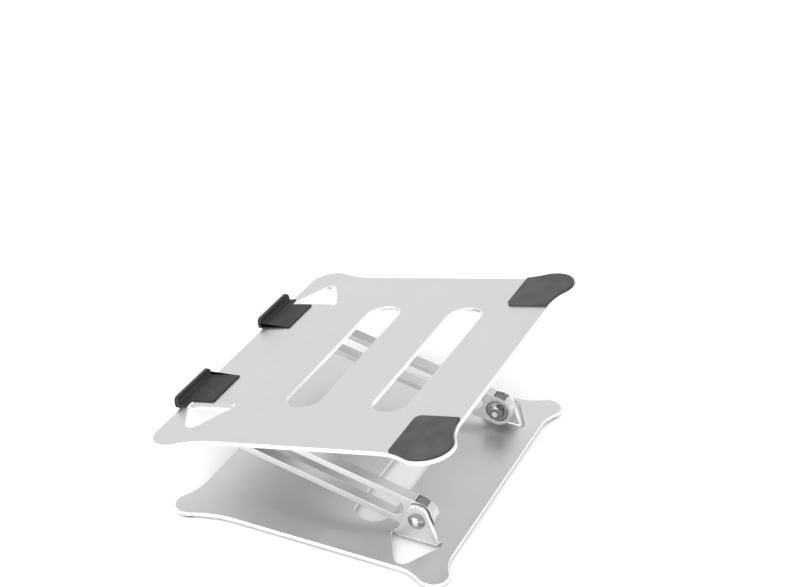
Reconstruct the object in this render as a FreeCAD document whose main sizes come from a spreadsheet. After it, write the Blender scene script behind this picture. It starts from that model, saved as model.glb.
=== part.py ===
"""Folding laptop stand: two bent aluminium plates joined by a pair of flat bar arms.

Every group is drawn about its own hinge axis. The base plate and the arms have their origin on the
rear hinge axis, the top plate has its origin on the front hinge axis, and a Placement puts each group
where it stands. +X is the user's right, +Y the rear, +Z up. Lengths are in millimetres.
"""
import FreeCAD, Part
import math
import os
import Sketcher
from FreeCAD import Placement, Rotation, Vector

os.makedirs("parts", exist_ok=True)
doc = FreeCAD.newDocument("laptop_stand")

# ---------------------------------------------------------------- driving dimensions
DIMENSIONS = {
    # sheet metal
    "plate_thick": 3.0,
    "fold_outer": 2.8,
    # rear hinge axis in the standing pose, and the two angles of that pose
    "axis_rear_y": 72.4,
    "axis_rear_z": 20.2,
    "arm_rise": 11.8,
    "top_tilt": 12.5,
    # hinge axis to the near face of either plate
    "axis_drop": 14.7,
    # base plate, measured from the rear hinge axis
    "base_half_width": 110.0,
    "base_depth": 189.3,
    "base_rear": 28.7,
    "base_lobe_radius": 10.75,
    "base_lobe_x": 107.3,
    "base_front_lobe_inset": 2.9,
    "base_rear_lobe_inset": 4.0,
    "base_front_side_blend": 79.0,
    "base_front_edge_blend": 41.0,
    "base_rear_side_blend": 29.0,
    "base_rear_edge_blend": 31.0,
    # top plate, measured from the front hinge axis
    "top_half_width": 122.0,
    "top_front": 22.3,
    "top_rear": 190.2,
    "top_rear_lobe_x": 111.0,
    "top_rear_lobe_radius": 19.2,
    "top_rear_lobe_inset": 10.7,
    "top_rear_side_blend": 40.0,
    "top_rear_edge_blend": 42.0,
    "top_front_lobe_x": 114.0,
    "top_front_lobe_radius": 16.0,
    "top_front_side_blend": 60.0,
    # transverse obround slots
    "slot_half_length": 74.0,
    "slot_radius": 13.15,
    "base_slot_y": 39.5,
    "top_slot_first": 66.0,
    "top_slot_pitch": 66.0,
    # hinge ears and the windows they are bent out of
    "ear_inner_x": 75.4,
    "ear_half_width": 16.0,
    "ear_reach": 11.4,
    "ear_round": 7.75,
    "window_half_width": 18.4,
    "window_apex_x": 106.5,
    "window_apex_radius": 5.5,
    "relief_radius": 0.9,
    "relief_depth": 4.0,
    # arms
    "arm_inner_x": 65.8,
    "arm_thick": 8.6,
    "arm_radius": 11.4,
    "arm_span": 154.0,
    "arm_slot_radius": 6.45,
    "arm_slot_end": 12.1,
    "bush_radius": 4.0,
    "well_radius": 8.5,
    "well_depth": 3.4,
    "bumper_length": 8.2,
    "bumper_width": 7.2,
    "bumper_sink": 1.2,
    "bumper_proud": 0.5,
    "bumper_shift": 1.2,
    # hinge hardware
    "bolt_radius": 3.0,
    "bolt_play": 0.05,
    "stud_end_x": 60.6,
    "head_radius": 6.0,
    "head_rim": 0.8,
    "head_height": 3.2,
    "washer_hole": 3.2,
    "washer_radius": 8.0,
    "friction_thick": 1.0,
    "well_friction_thick": 0.8,
    "spring_thick": 0.8,
    "spring_cone": 0.4,
    "flat_thick": 1.0,
    "nut_across_flats": 10.0,
    "nut_hex_height": 3.9,
    "nut_collar_radius": 4.7,
    "nut_collar_height": 1.3,
    "insert_radius": 3.9,
    # hooks, pads and feet
    "hook_inner_x": 35.5,
    "hook_outer_x": 82.5,
    "hook_reach": 29.4,
    "hook_height": 7.2,
    "hook_corner": 4.5,
    "hook_root_blend": 2.5,
    "pad_margin": 1.0,
    "hook_pad_thick": 2.5,
    "hook_pad_sheet": 1.2,
    "hook_pad_depth": 26.0,
    "hook_pad_shoulder": 8.0,
    "hook_pad_notch_x": 73.5,
    "rear_pad_thick": 1.5,
    "rear_pad_rim": 1.5,
    "rear_pad_inner_x": 78.0,
    "rear_pad_front": 158.0,
    "rear_pad_corner": 5.0,
    "foot_radius": 8.5,
    "foot_thick": 2.5,
}
sheet = doc.addObject("Spreadsheet::Sheet", "sheet")
for row, (alias, number) in enumerate(DIMENSIONS.items(), start=1):
    sheet.set(f"A{row}", alias)
    sheet.set(f"B{row}", str(number))
    sheet.setAlias(f"B{row}", alias)
doc.recompute()


def size(alias):
    """The number in the sheet's cell of that alias."""
    return float(sheet.get(alias))


UP = 1.0
DOWN = -1.0
SIDES = {"left": -1.0, "right": 1.0}
sub_parts = []


# ---------------------------------------------------------------- drawing helpers
def tangent_point(start, centre, radius, turn):
    """Where the line from start touches the circle; turn is +1 or -1 for which of the two."""
    to_centre = centre - start
    spread = math.acos(radius / to_centre.Length)
    angle = math.atan2(-to_centre.y, -to_centre.x) + turn * spread
    return centre + Vector(radius * math.cos(angle), radius * math.sin(angle), 0)


def arc_through(centre, start, end, bulge):
    """The arc about centre from start to end that passes on the side of the vector bulge."""
    radius = (start - centre).Length
    middle = centre + bulge * (radius / bulge.Length)
    return Part.Arc(start, middle, end)


def flip(point):
    return Vector(-point.x, point.y, 0)


def lobe_corner(lobe, radius, side_x, side_blend, edge_y, edge_blend, outward):
    """Right-hand corner of a plate: side edge, hollow blend, lobe, hollow blend, front or rear edge.

    outward is +1 where the edge is at the rear and -1 where it is at the front. Returns the edges from
    the side to the end edge, and the two points where they leave the straight edges. With no edge_blend
    the lobe runs straight into the end edge.
    """
    reach = radius + side_blend
    side_centre = Vector(side_x + side_blend, 0, 0)
    side_centre.y = lobe.y - outward * math.sqrt(reach ** 2 - (side_centre.x - lobe.x) ** 2)
    side_point = Vector(side_x, side_centre.y, 0)
    lobe_start = lobe + (side_centre - lobe) * (radius / reach)
    side_bulge = ((side_point - side_centre) + (lobe_start - side_centre)) * 0.5
    edges = [arc_through(side_centre, side_point, lobe_start, side_bulge)]
    if edge_blend:
        reach = radius + edge_blend
        edge_centre = Vector(0, edge_y + outward * edge_blend, 0)
        edge_centre.x = lobe.x - math.sqrt(reach ** 2 - (edge_centre.y - lobe.y) ** 2)
        edge_point = Vector(edge_centre.x, edge_y, 0)
        lobe_end = lobe + (edge_centre - lobe) * (radius / reach)
        edge_bulge = ((edge_point - edge_centre) + (lobe_end - edge_centre)) * 0.5
        edges.append(arc_through(lobe, lobe_start, lobe_end, Vector(1, outward, 0)))
        edges.append(arc_through(edge_centre, lobe_end, edge_point, edge_bulge))
    else:
        edge_point = Vector(lobe.x, edge_y, 0)
        edges.append(arc_through(lobe, lobe_start, edge_point, Vector(1, outward, 0)))
    return edges, side_point, edge_point


def mirrored(edge):
    """The same edge on the left-hand side."""
    if isinstance(edge, Part.LineSegment):
        return Part.LineSegment(flip(edge.StartPoint), flip(edge.EndPoint))
    first, last = edge.FirstParameter, edge.LastParameter
    points = [edge.value(first), edge.value(0.5 * (first + last)), edge.value(last)]
    return Part.Arc(*[flip(point) for point in points])


def outline(front_corner, rear_corner):
    """Closed outline of a plate that is the same on both sides."""
    front_edges, front_side, front_edge = front_corner
    rear_edges, rear_side, rear_edge = rear_corner
    right = front_edges + rear_edges + [Part.LineSegment(front_side, rear_side)]
    across = [Part.LineSegment(flip(front_edge), front_edge), Part.LineSegment(flip(rear_edge), rear_edge)]
    return right + [mirrored(edge) for edge in right] + across


def obround(near, far, radius):
    """Slot outline about the two end centres near and far."""
    along = (far - near).normalize()
    aside = Vector(-along.y, along.x, 0) * radius
    return [
        Part.LineSegment(near + aside, far + aside),
        Part.Arc(far + aside, far + along * radius, far - aside),
        Part.LineSegment(far - aside, near - aside),
        Part.Arc(near - aside, near - along * radius, near + aside),
    ]


def polygon(points):
    return [Part.LineSegment(a, b) for a, b in zip(points, points[1:] + points[:1])]


def rectangle(low_x, high_x, low_y, high_y):
    return polygon([Vector(low_x, low_y, 0), Vector(high_x, low_y, 0),
                    Vector(high_x, high_y, 0), Vector(low_x, high_y, 0)])


# ---------------------------------------------------------------- document helpers
def place(item, group):
    """Stand an object of the base, arms or top group in the standing pose."""
    rear = Vector(0, size("axis_rear_y"), size("axis_rear_z"))
    rise = math.radians(size("arm_rise"))
    front = rear + Vector(0, -math.cos(rise), math.sin(rise)) * size("arm_span")
    places = {"base": (0, rear), "arms": (-size("arm_rise"), rear), "top": (size("top_tilt"), front)}
    turn, origin = places[group]
    item.Placement = Placement(origin, Rotation(Vector(1, 0, 0), turn)) * item.Placement


def new_body(name, group):
    body = doc.addObject("PartDesign::Body", name)
    body.Label = name
    sub_parts.append((body, group))
    return body


def new_sketch(body, name, role, lines, offset=None):
    """Sketch on one of the body's own origin planes; offset is a sheet expression along its normal."""
    sketch = body.newObject("Sketcher::SketchObject", name)
    plane = [item for item in body.Origin.OriginFeatures if item.Role == role][0]
    sketch.AttachmentSupport = [(plane, "")]
    sketch.MapMode = "FlatFace"
    if offset is not None:
        sketch.setExpression("AttachmentOffset.Base.z", offset)
    sketch.addGeometry(lines, False)
    for index in range(len(lines)):
        sketch.addConstraint(Sketcher.Constraint("Block", index))
    return sketch


def settle(body, feature):
    """Recompute one new feature and its body, without going over the whole document again."""
    if getattr(feature, "Profile", None):
        feature.Profile[0].recompute()
    feature.recompute()
    body.recompute()
    if "Invalid" in feature.State:
        raise RuntimeError(f"{feature.Label} failed")


def add_pad(body, name, sketch, length):
    pad = body.newObject("PartDesign::Pad", name)
    pad.Profile = sketch
    pad.setExpression("Length", length)
    settle(body, pad)


def add_pocket(body, name, sketch, length, reverse=False):
    """Pocket that must take material away, or the build stops."""
    before = body.Shape.Volume
    pocket = body.newObject("PartDesign::Pocket", name)
    pocket.Profile = sketch
    pocket.setExpression("Length", length)
    pocket.Reversed = reverse
    settle(body, pocket)
    if body.Shape.Volume > before - 0.5:
        raise RuntimeError(f"{name} cuts nothing")


def add_fillet(body, name, radius, chooses):
    """Fillet the straight edges whose two ends and middle all satisfy chooses."""
    tip = body.Tip
    names = []
    for index, edge in enumerate(tip.Shape.Edges, start=1):
        ends = [vertex.Point for vertex in edge.Vertexes]
        if len(ends) == 2 and isinstance(edge.Curve, Part.Line):
            if all(chooses(point) for point in ends + [edge.CenterOfMass]):
                names.append(f"Edge{index}")
    if not names:
        raise RuntimeError(f"{name} finds no edge")
    fillet = body.newObject("PartDesign::Fillet", name)
    fillet.Base = (tip, names)
    fillet.setExpression("Radius", radius)
    settle(body, fillet)


# ---------------------------------------------------------------- bent plates
def add_window(body, facing, side, side_name):
    """Three-cornered window left by a bent ear, with a relief slit at each end of the fold."""
    fold = size("ear_inner_x") + size("plate_thick")
    half = size("window_half_width")
    apex = Vector(size("window_apex_x") - size("window_apex_radius"), 0, 0)
    low = Vector(fold, -half, 0)
    high = Vector(fold, half, 0)
    low_touch = tangent_point(low, apex, size("window_apex_radius"), 1)
    high_touch = tangent_point(high, apex, size("window_apex_radius"), -1)
    lines = [Part.LineSegment(low, low_touch),
             Part.Arc(low_touch, apex + Vector(size("window_apex_radius"), 0, 0),
             high_touch), Part.LineSegment(high_touch, high), Part.LineSegment(high, low)]
    if side < 0:
        lines = [mirrored(edge) for edge in lines]
    level = "-sheet.axis_drop" if facing == DOWN else "sheet.axis_drop + sheet.plate_thick"
    sketch = new_sketch(body, f"window_sketch_{side_name}", "XY_Plane", lines, level)
    add_pocket(body, f"window_{side_name}", sketch, "sheet.plate_thick")
    radius = size("relief_radius")
    for end in (-1, 1):
        centre_y = end * (size("ear_half_width") + radius)
        slit = obround(Vector(side * (fold - size("relief_depth") + radius), centre_y, 0),
                       Vector(side * (fold + radius), centre_y, 0), radius)
        name = f"relief_{side_name}_{'rear' if end > 0 else 'front'}"
        sketch = new_sketch(body, f"{name}_sketch", "XY_Plane", slit, level)
        add_pocket(body, name, sketch, "sheet.plate_thick")


def add_ear(body, facing, side, side_name):
    """Hinge ear that stands on the plate towards the axis; facing is where the plate lies."""
    foot = facing * (size("axis_drop") + size("plate_thick"))
    crown = Vector(0, -facing * (size("ear_reach") - size("ear_round")), 0)
    half = size("ear_half_width")
    skirt = facing * size("axis_drop")
    right = tangent_point(Vector(half, skirt, 0), crown, size("ear_round"), -facing)
    left = Vector(-right.x, right.y, 0)
    top = crown + Vector(0, -facing * size("ear_round"), 0)
    lines = [
        Part.LineSegment(Vector(-half, foot, 0), Vector(half, foot, 0)),
        Part.LineSegment(Vector(half, foot, 0), Vector(half, skirt, 0)),
        Part.LineSegment(Vector(half, skirt, 0), right),
        Part.Arc(right, top, left),
        Part.LineSegment(left, Vector(-half, skirt, 0)),
        Part.LineSegment(Vector(-half, skirt, 0), Vector(-half, foot, 0)),
    ]
    bolt_hole = Part.Circle(Vector(0, 0, 0), Vector(0, 0, 1), size("bolt_radius"))
    offset = "sheet.ear_inner_x" if side > 0 else "-sheet.ear_inner_x - sheet.plate_thick"
    sketch = new_sketch(body, f"ear_sketch_{side_name}", "YZ_Plane", lines + [bolt_hole], offset)
    add_pad(body, f"ear_{side_name}", sketch, "sheet.plate_thick")


def round_folds(body, facing):
    """Outer bend radius along both ears' folds."""
    outer_x = size("ear_inner_x") + size("plate_thick")
    far_z = facing * (size("axis_drop") + size("plate_thick"))
    half = size("ear_half_width") + 0.01
    add_fillet(body, "folds", "sheet.fold_outer", lambda point: abs(abs(point.x) - outer_x) < 1e-3
               and abs(point.z - far_z) < 1e-3 and abs(point.y) < half)


def base_plate():
    body = new_body("base_plate", "base")
    rear = size("base_rear")
    front = rear - size("base_depth")
    radius = size("base_lobe_radius")
    front_lobe = Vector(size("base_lobe_x"), front + size("base_front_lobe_inset"), 0)
    rear_lobe = Vector(size("base_lobe_x"), rear - size("base_rear_lobe_inset"), 0)
    front_corner = lobe_corner(front_lobe, radius, size("base_half_width"), size("base_front_side_blend"),
                               front, size("base_front_edge_blend"), -1)
    rear_corner = lobe_corner(rear_lobe, radius, size("base_half_width"), size("base_rear_side_blend"),
                              rear, size("base_rear_edge_blend"), 1)
    sketch = new_sketch(body, "base_outline", "XY_Plane", outline(front_corner, rear_corner),
                        "-sheet.axis_drop - sheet.plate_thick")
    add_pad(body, "base_sheet", sketch, "sheet.plate_thick")
    end = size("slot_half_length") - size("slot_radius")
    slot_y = -size("base_slot_y")
    slot = obround(Vector(-end, slot_y, 0), Vector(end, slot_y, 0), size("slot_radius"))
    sketch = new_sketch(body, "base_slot_sketch", "XY_Plane", slot, "-sheet.axis_drop")
    add_pocket(body, "base_slot", sketch, "sheet.plate_thick")
    for side_name, side in SIDES.items():
        add_window(body, DOWN, side, side_name)
        add_ear(body, DOWN, side, side_name)
    round_folds(body, DOWN)


def top_outline(rim=0.0):
    """Corners of the top plate's outline, drawn in by rim."""
    rear = size("top_rear")
    front = -size("top_front")
    half = size("top_half_width") - rim
    front_radius = size("top_front_lobe_radius")
    front_lobe = Vector(size("top_front_lobe_x"), front + front_radius, 0)
    rear_lobe = Vector(size("top_rear_lobe_x"), rear - size("top_rear_lobe_inset"), 0)
    front_corner = lobe_corner(front_lobe, front_radius - rim, half, size("top_front_side_blend") + rim,
                               front + rim, 0, -1)
    rear_corner = lobe_corner(rear_lobe, size("top_rear_lobe_radius") - rim, half,
                              size("top_rear_side_blend") + rim, rear - rim, size("top_rear_edge_blend") + rim, 1)
    return front_corner, rear_corner


def add_hook(body, side, side_name):
    """Front hook: a tab that runs forward from the plate's front edge and is bent up."""
    near, far = sorted((side * size("hook_inner_x"), side * size("hook_outer_x")))
    root = size("hook_root_blend")
    bow = root * math.sqrt(0.5)
    edge, tip, lap = -size("top_front"), -size("hook_reach"), -size("top_front") + size("plate_thick")
    tab = [
        Part.Arc(Vector(near - root, edge, 0), Vector(near - root + bow, edge - root + bow, 0),
                 Vector(near, edge - root, 0)),
        Part.LineSegment(Vector(near, edge - root, 0), Vector(near, tip, 0)),
        Part.LineSegment(Vector(near, tip, 0), Vector(far, tip, 0)),
        Part.LineSegment(Vector(far, tip, 0), Vector(far, edge - root, 0)),
        Part.Arc(Vector(far, edge - root, 0), Vector(far + root - bow, edge - root + bow, 0),
                 Vector(far + root, edge, 0)),
        Part.LineSegment(Vector(far + root, edge, 0), Vector(far + root, lap, 0)),
        Part.LineSegment(Vector(far + root, lap, 0), Vector(near - root, lap, 0)),
        Part.LineSegment(Vector(near - root, lap, 0), Vector(near - root, edge, 0)),
    ]
    sketch = new_sketch(body, f"hook_tab_sketch_{side_name}", "XY_Plane", tab, "sheet.axis_drop")
    add_pad(body, f"hook_tab_{side_name}", sketch, "sheet.plate_thick")
    low = size("axis_drop")
    high = low + size("plate_thick") + size("hook_height")
    corner = size("hook_corner")
    bend = corner * (1 - math.sqrt(0.5))
    lip = [
        Part.LineSegment(Vector(near, low, 0), Vector(far, low, 0)),
        Part.LineSegment(Vector(far, low, 0), Vector(far, high - corner, 0)),
        Part.Arc(Vector(far, high - corner, 0), Vector(far - bend, high - bend, 0), Vector(far - corner, high, 0)),
        Part.LineSegment(Vector(far - corner, high, 0), Vector(near + corner, high, 0)),
        Part.Arc(Vector(near + corner, high, 0), Vector(near + bend, high - bend, 0), Vector(near, high - corner, 0)),
        Part.LineSegment(Vector(near, high - corner, 0), Vector(near, low, 0)),
    ]
    sketch = new_sketch(body, f"hook_lip_sketch_{side_name}", "XZ_Plane", lip,
                        "sheet.hook_reach - sheet.plate_thick")
    add_pad(body, f"hook_lip_{side_name}", sketch, "sheet.plate_thick")


def top_plate():
    body = new_body("top_plate", "top")
    sketch = new_sketch(body, "top_outline", "XY_Plane", outline(*top_outline()), "sheet.axis_drop")
    add_pad(body, "top_sheet", sketch, "sheet.plate_thick")
    end = size("slot_half_length") - size("slot_radius")
    for index in range(2):
        slot_y = size("top_slot_first") + index * size("top_slot_pitch")
        slot = obround(Vector(-end, slot_y, 0), Vector(end, slot_y, 0), size("slot_radius"))
        sketch = new_sketch(body, f"vent_sketch_{index + 1}", "XY_Plane", slot,
                            "sheet.axis_drop + sheet.plate_thick")
        add_pocket(body, f"vent_{index + 1}", sketch, "sheet.plate_thick")
    for side_name, side in SIDES.items():
        add_window(body, UP, side, side_name)
        add_ear(body, UP, side, side_name)
        add_hook(body, side, side_name)
    round_folds(body, UP)
    low = size("axis_drop")
    add_fillet(body, "hook_bend", "sheet.fold_outer",
               lambda point: abs(point.z - low) < 1e-3 and abs(point.y + size("hook_reach")) < 1e-3)


# ---------------------------------------------------------------- arms
def arm(side_name):
    """Flat bar with rounded ends on both hinge axes, a long slot and a well for each nut."""
    side = SIDES[side_name]
    body = new_body(f"arm_{side_name}", "arms")
    rear = Vector(0, 0, 0)
    front = Vector(-size("arm_span"), 0, 0)
    inner = "sheet.arm_inner_x" if side > 0 else "-sheet.arm_inner_x - sheet.arm_thick"
    bores = [Part.Circle(centre, Vector(0, 0, 1), size("bush_radius")) for centre in (rear, front)]
    lines = obround(rear, front, size("arm_radius")) + bores
    sketch = new_sketch(body, f"arm_outline_{side_name}", "YZ_Plane", lines, inner)
    add_pad(body, f"arm_bar_{side_name}", sketch, "sheet.arm_thick")
    inset = size("arm_slot_end") + size("arm_slot_radius")
    slot = obround(Vector(-inset, 0, 0), Vector(inset - size("arm_span"), 0, 0), size("arm_slot_radius"))
    outer_face = inner + " + sheet.arm_thick"
    sketch = new_sketch(body, f"arm_slot_sketch_{side_name}", "YZ_Plane", slot, outer_face)
    add_pocket(body, f"arm_slot_{side_name}", sketch, "sheet.arm_thick")
    wells = [Part.Circle(centre, Vector(0, 0, 1), size("well_radius")) for centre in (rear, front)]
    mouth = "sheet.arm_inner_x" if side > 0 else "-sheet.arm_inner_x"
    sketch = new_sketch(body, f"wells_sketch_{side_name}", "YZ_Plane", wells, mouth)
    add_pocket(body, f"wells_{side_name}", sketch, "sheet.well_depth", reverse=side > 0)
    middle = side * (size("arm_inner_x") + 0.5 * size("arm_thick"))
    half_width = 0.5 * size("bumper_width")
    notch = rectangle(middle - half_width, middle + half_width, *bumper_span())
    sketch = new_sketch(body, f"bumper_seat_sketch_{side_name}", "XY_Plane", notch, "sheet.arm_radius")
    add_pocket(body, f"bumper_seat_{side_name}", sketch, "sheet.bumper_sink")


def bumper_span():
    """Rear and front ends of the rubber bumper along the arm."""
    half = 0.5 * size("bumper_length")
    return -size("bumper_shift") - half, -size("bumper_shift") + half


def arm_bumper(side_name):
    """Rubber block let into the arm's top edge above the rear hinge."""
    side = SIDES[side_name]
    block = doc.addObject("Part::Box", f"arm_bumper_{side_name}")
    block.Label = f"arm_bumper_{side_name}"
    block.setExpression("Length", "sheet.bumper_width")
    block.setExpression("Width", "sheet.bumper_length")
    block.setExpression("Height", "sheet.bumper_sink + sheet.bumper_proud")
    middle = side * (size("arm_inner_x") + 0.5 * size("arm_thick"))
    block.Placement.Base = Vector(middle - 0.5 * size("bumper_width"), bumper_span()[0],
                                  size("arm_radius") - size("bumper_sink"))
    sub_parts.append((block, "arms"))


# ---------------------------------------------------------------- hinge hardware
def turned(name, group, side, profile, back=0.0):
    """Piece turned about the hinge axis; profile edges are (distance from the centre plane, radius).

    back shifts the piece along Y, from the rear hinge axis to the arms' front end.
    """
    body = new_body(name, group)
    if side < 0:
        profile = [mirrored(edge) for edge in profile]
    sketch = new_sketch(body, f"{name}_profile", "XY_Plane", profile)
    turn = body.newObject("PartDesign::Revolution", f"{name}_turn")
    turn.Profile = sketch
    turn.ReferenceAxis = (sketch, ["H_Axis"])
    turn.Angle = 360.0
    settle(body, turn)
    body.Placement.Base = Vector(0, back, 0)


def ring(start, end, hole, radius):
    return rectangle(min(start, end), max(start, end), hole, radius)


def bolt(name, group, side):
    """Domed bolt: a thin rim under the dome, a plain shank and a chamfered end."""
    seat = size("ear_inner_x") + size("plate_thick")
    end = size("stud_end_x")
    shank = size("bolt_radius")
    chamfer = 0.2 * shank
    rim = seat + size("head_rim")
    crown = seat + size("head_height")
    brow = 0.92 * size("head_radius")
    rise = crown - rim
    dome = 0.5 * (brow ** 2 + rise ** 2) / rise
    centre_x = crown - dome
    half_angle = 0.5 * math.asin(brow / dome)
    middle = Vector(centre_x + dome * math.cos(half_angle), dome * math.sin(half_angle), 0)
    path = [Vector(end, 0, 0), Vector(end, shank - chamfer, 0), Vector(end + chamfer, shank, 0),
            Vector(seat, shank, 0), Vector(seat, size("head_radius"), 0), Vector(rim, size("head_radius"), 0),
            Vector(rim, brow, 0)]
    profile = [Part.LineSegment(a, b) for a, b in zip(path, path[1:])]
    profile.append(Part.Arc(Vector(rim, brow, 0), middle, Vector(crown, 0, 0)))
    profile.append(Part.LineSegment(Vector(crown, 0, 0), path[0]))
    turned(name, group, side, profile)


def disc_spring(name, group, side, start):
    """Shallow coned washer, wide side towards the arm."""
    thick = size("spring_thick")
    cone = size("spring_cone")
    hole, radius = size("washer_hole"), size("washer_radius")
    profile = polygon([Vector(start, radius, 0), Vector(start - thick, radius, 0),
                       Vector(start - thick - cone, hole, 0), Vector(start - cone, hole, 0)])
    turned(name, group, side, profile)


def lock_nut(name, insert_name, group, side, start):
    """Hexagon nut with a round collar that holds a nylon ring."""
    hex_height, collar = size("nut_hex_height"), size("nut_collar_height")
    corner = "sheet.nut_across_flats / sqrt(3)"
    base = doc.addObject("Part::Prism", f"{name}_hexagon")
    base.Polygon = 6
    base.setExpression("Circumradius", corner)
    base.setExpression("Height", "sheet.nut_hex_height")
    neck = doc.addObject("Part::Cylinder", f"{name}_collar")
    neck.setExpression("Radius", "sheet.nut_collar_radius")
    neck.setExpression("Height", "sheet.nut_hex_height + sheet.nut_collar_height")
    whole = doc.addObject("Part::Fuse", f"{name}_blank")
    whole.Base = base
    whole.Tool = neck
    bore = doc.addObject("Part::Cylinder", f"{name}_bore")
    bore.setExpression("Radius", "sheet.bolt_radius")
    bore.setExpression("Height", "sheet.nut_hex_height + sheet.nut_collar_height")
    bored = doc.addObject("Part::Cut", f"{name}_bored")
    bored.Base = whole
    bored.Tool = bore
    pocket = doc.addObject("Part::Cylinder", f"{name}_recess")
    pocket.setExpression("Radius", "sheet.insert_radius")
    pocket.setExpression("Height", "sheet.nut_collar_height")
    pocket.setExpression("Placement.Base.z", "sheet.nut_hex_height")
    nut = doc.addObject("Part::Cut", name)
    nut.Base = bored
    nut.Tool = pocket
    nut.Label = name
    inward = Rotation(Vector(0, 0, 1), Vector(-side, 0, 0))
    nut.Placement = Placement(Vector(side * start, 0, 0), inward)
    sub_parts.append((nut, group))
    far = start - hex_height
    turned(insert_name, group, side, ring(far, far - collar, size("bolt_radius"), size("insert_radius")))


def hinge_stack(group, side_name):
    """Everything clamped by one hinge bolt, from the ear inwards."""
    side = SIDES[side_name]
    ear = size("ear_inner_x")
    hole, radius = size("washer_hole"), size("washer_radius")
    bolt(f"{group}_bolt_{side_name}", group, side)
    washer = ring(ear, ear - size("friction_thick"), hole, radius)
    turned(f"{group}_ear_washer_{side_name}", group, side, washer)
    floor = size("arm_inner_x") + size("well_depth")
    at_spring = floor - size("well_friction_thick")
    turned(f"{group}_well_washer_{side_name}", group, side, ring(floor, at_spring, hole, radius))
    disc_spring(f"{group}_disc_spring_{side_name}", group, side, at_spring)
    at_flat = at_spring - size("spring_thick") - size("spring_cone")
    at_nut = at_flat - size("flat_thick")
    turned(f"{group}_flat_washer_{side_name}", group, side, ring(at_flat, at_nut, hole, radius))
    lock_nut(f"{group}_lock_nut_{side_name}", f"{group}_nut_insert_{side_name}", group, side, at_nut)


def arm_bushes(side_name):
    """Plain bearing bushes pressed into both ends of an arm."""
    side = SIDES[side_name]
    outer = size("arm_inner_x") + size("arm_thick")
    floor = size("arm_inner_x") + size("well_depth")
    inside = size("bolt_radius") + size("bolt_play")
    for end, back in (("rear", 0.0), ("front", -size("arm_span"))):
        bush = ring(outer, floor, inside, size("bush_radius"))
        turned(f"arm_bush_{end}_{side_name}", "arms", side, bush, back)


# ---------------------------------------------------------------- rubber
def hook_pad(side_name):
    """Rubber liner of a hook: a leg up the hook and a thinner sheet along the plate, beside the window."""
    side = SIDES[side_name]
    body = new_body(f"hook_pad_{side_name}", "top")
    back = -size("hook_reach") + size("plate_thick")
    floor = size("axis_drop") + size("plate_thick")
    top = floor + size("hook_height") - 0.4 * size("pad_margin")
    sheet_top = floor + size("hook_pad_sheet")
    tip = back + size("hook_pad_depth")
    leg = back + size("hook_pad_thick")
    points = [(back, floor), (tip, floor), (tip, sheet_top), (leg, sheet_top), (leg, top), (back, top)]
    near = "sheet.hook_inner_x + sheet.pad_margin" if side > 0 else "-sheet.hook_outer_x + sheet.pad_margin"
    profile = polygon([Vector(y, z, 0) for y, z in points])
    sketch = new_sketch(body, f"hook_pad_profile_{side_name}", "YZ_Plane", profile, near)
    add_pad(body, f"hook_pad_bar_{side_name}", sketch,
            "sheet.hook_outer_x - sheet.hook_inner_x - 2 * sheet.pad_margin")
    add_fillet(body, f"hook_pad_corners_{side_name}", "sheet.hook_corner - sheet.pad_margin",
               lambda point: abs(point.z - top) < 1e-3
               and min(abs(abs(point.x) - edge) for edge in pad_ends()) < 1e-3)
    notch_x = sorted((side * size("hook_pad_notch_x"), side * size("hook_outer_x")))
    notch = rectangle(*notch_x, back + size("hook_pad_shoulder"), tip + size("pad_margin"))
    sketch = new_sketch(body, f"hook_pad_notch_sketch_{side_name}", "XY_Plane", notch,
                        "sheet.axis_drop + sheet.plate_thick + sheet.hook_pad_sheet")
    add_pocket(body, f"hook_pad_notch_{side_name}", sketch, "sheet.hook_pad_sheet")


def pad_ends():
    return size("hook_inner_x") + size("pad_margin"), size("hook_outer_x") - size("pad_margin")


def rear_pad(side_name):
    """Rubber sheet on a rear lobe of the top plate, with a narrow rim of plate left bare."""
    side = SIDES[side_name]
    body = new_body(f"rear_pad_{side_name}", "top")
    edges, _, edge_point = top_outline(size("rear_pad_rim"))[1]
    inner, front = size("rear_pad_inner_x"), size("rear_pad_front")
    blend_circle = edges[0].toShape().Curve
    blend_centre, blend = blend_circle.Center, blend_circle.Radius
    start = Vector(blend_centre.x - math.sqrt(blend ** 2 - (front - blend_centre.y) ** 2), front, 0)
    lobe_start = edges[0].value(edges[0].LastParameter)
    bulge = (start + lobe_start) * 0.5 - blend_centre
    corner = size("rear_pad_corner")
    bend = corner * (1 - math.sqrt(0.5))
    lines = [arc_through(blend_centre, start, lobe_start, bulge)] + edges[1:]
    lines.append(Part.LineSegment(edge_point, Vector(inner, edge_point.y, 0)))
    lines.append(Part.LineSegment(Vector(inner, edge_point.y, 0), Vector(inner, front + corner, 0)))
    lines.append(Part.Arc(Vector(inner, front + corner, 0), Vector(inner + bend, front + bend, 0),
                          Vector(inner + corner, front, 0)))
    lines.append(Part.LineSegment(Vector(inner + corner, front, 0), start))
    if side < 0:
        lines = [mirrored(edge) for edge in lines]
    sketch = new_sketch(body, f"rear_pad_outline_{side_name}", "XY_Plane", lines,
                        "sheet.axis_drop + sheet.plate_thick")
    add_pad(body, f"rear_pad_sheet_{side_name}", sketch, "sheet.rear_pad_thick")


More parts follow.
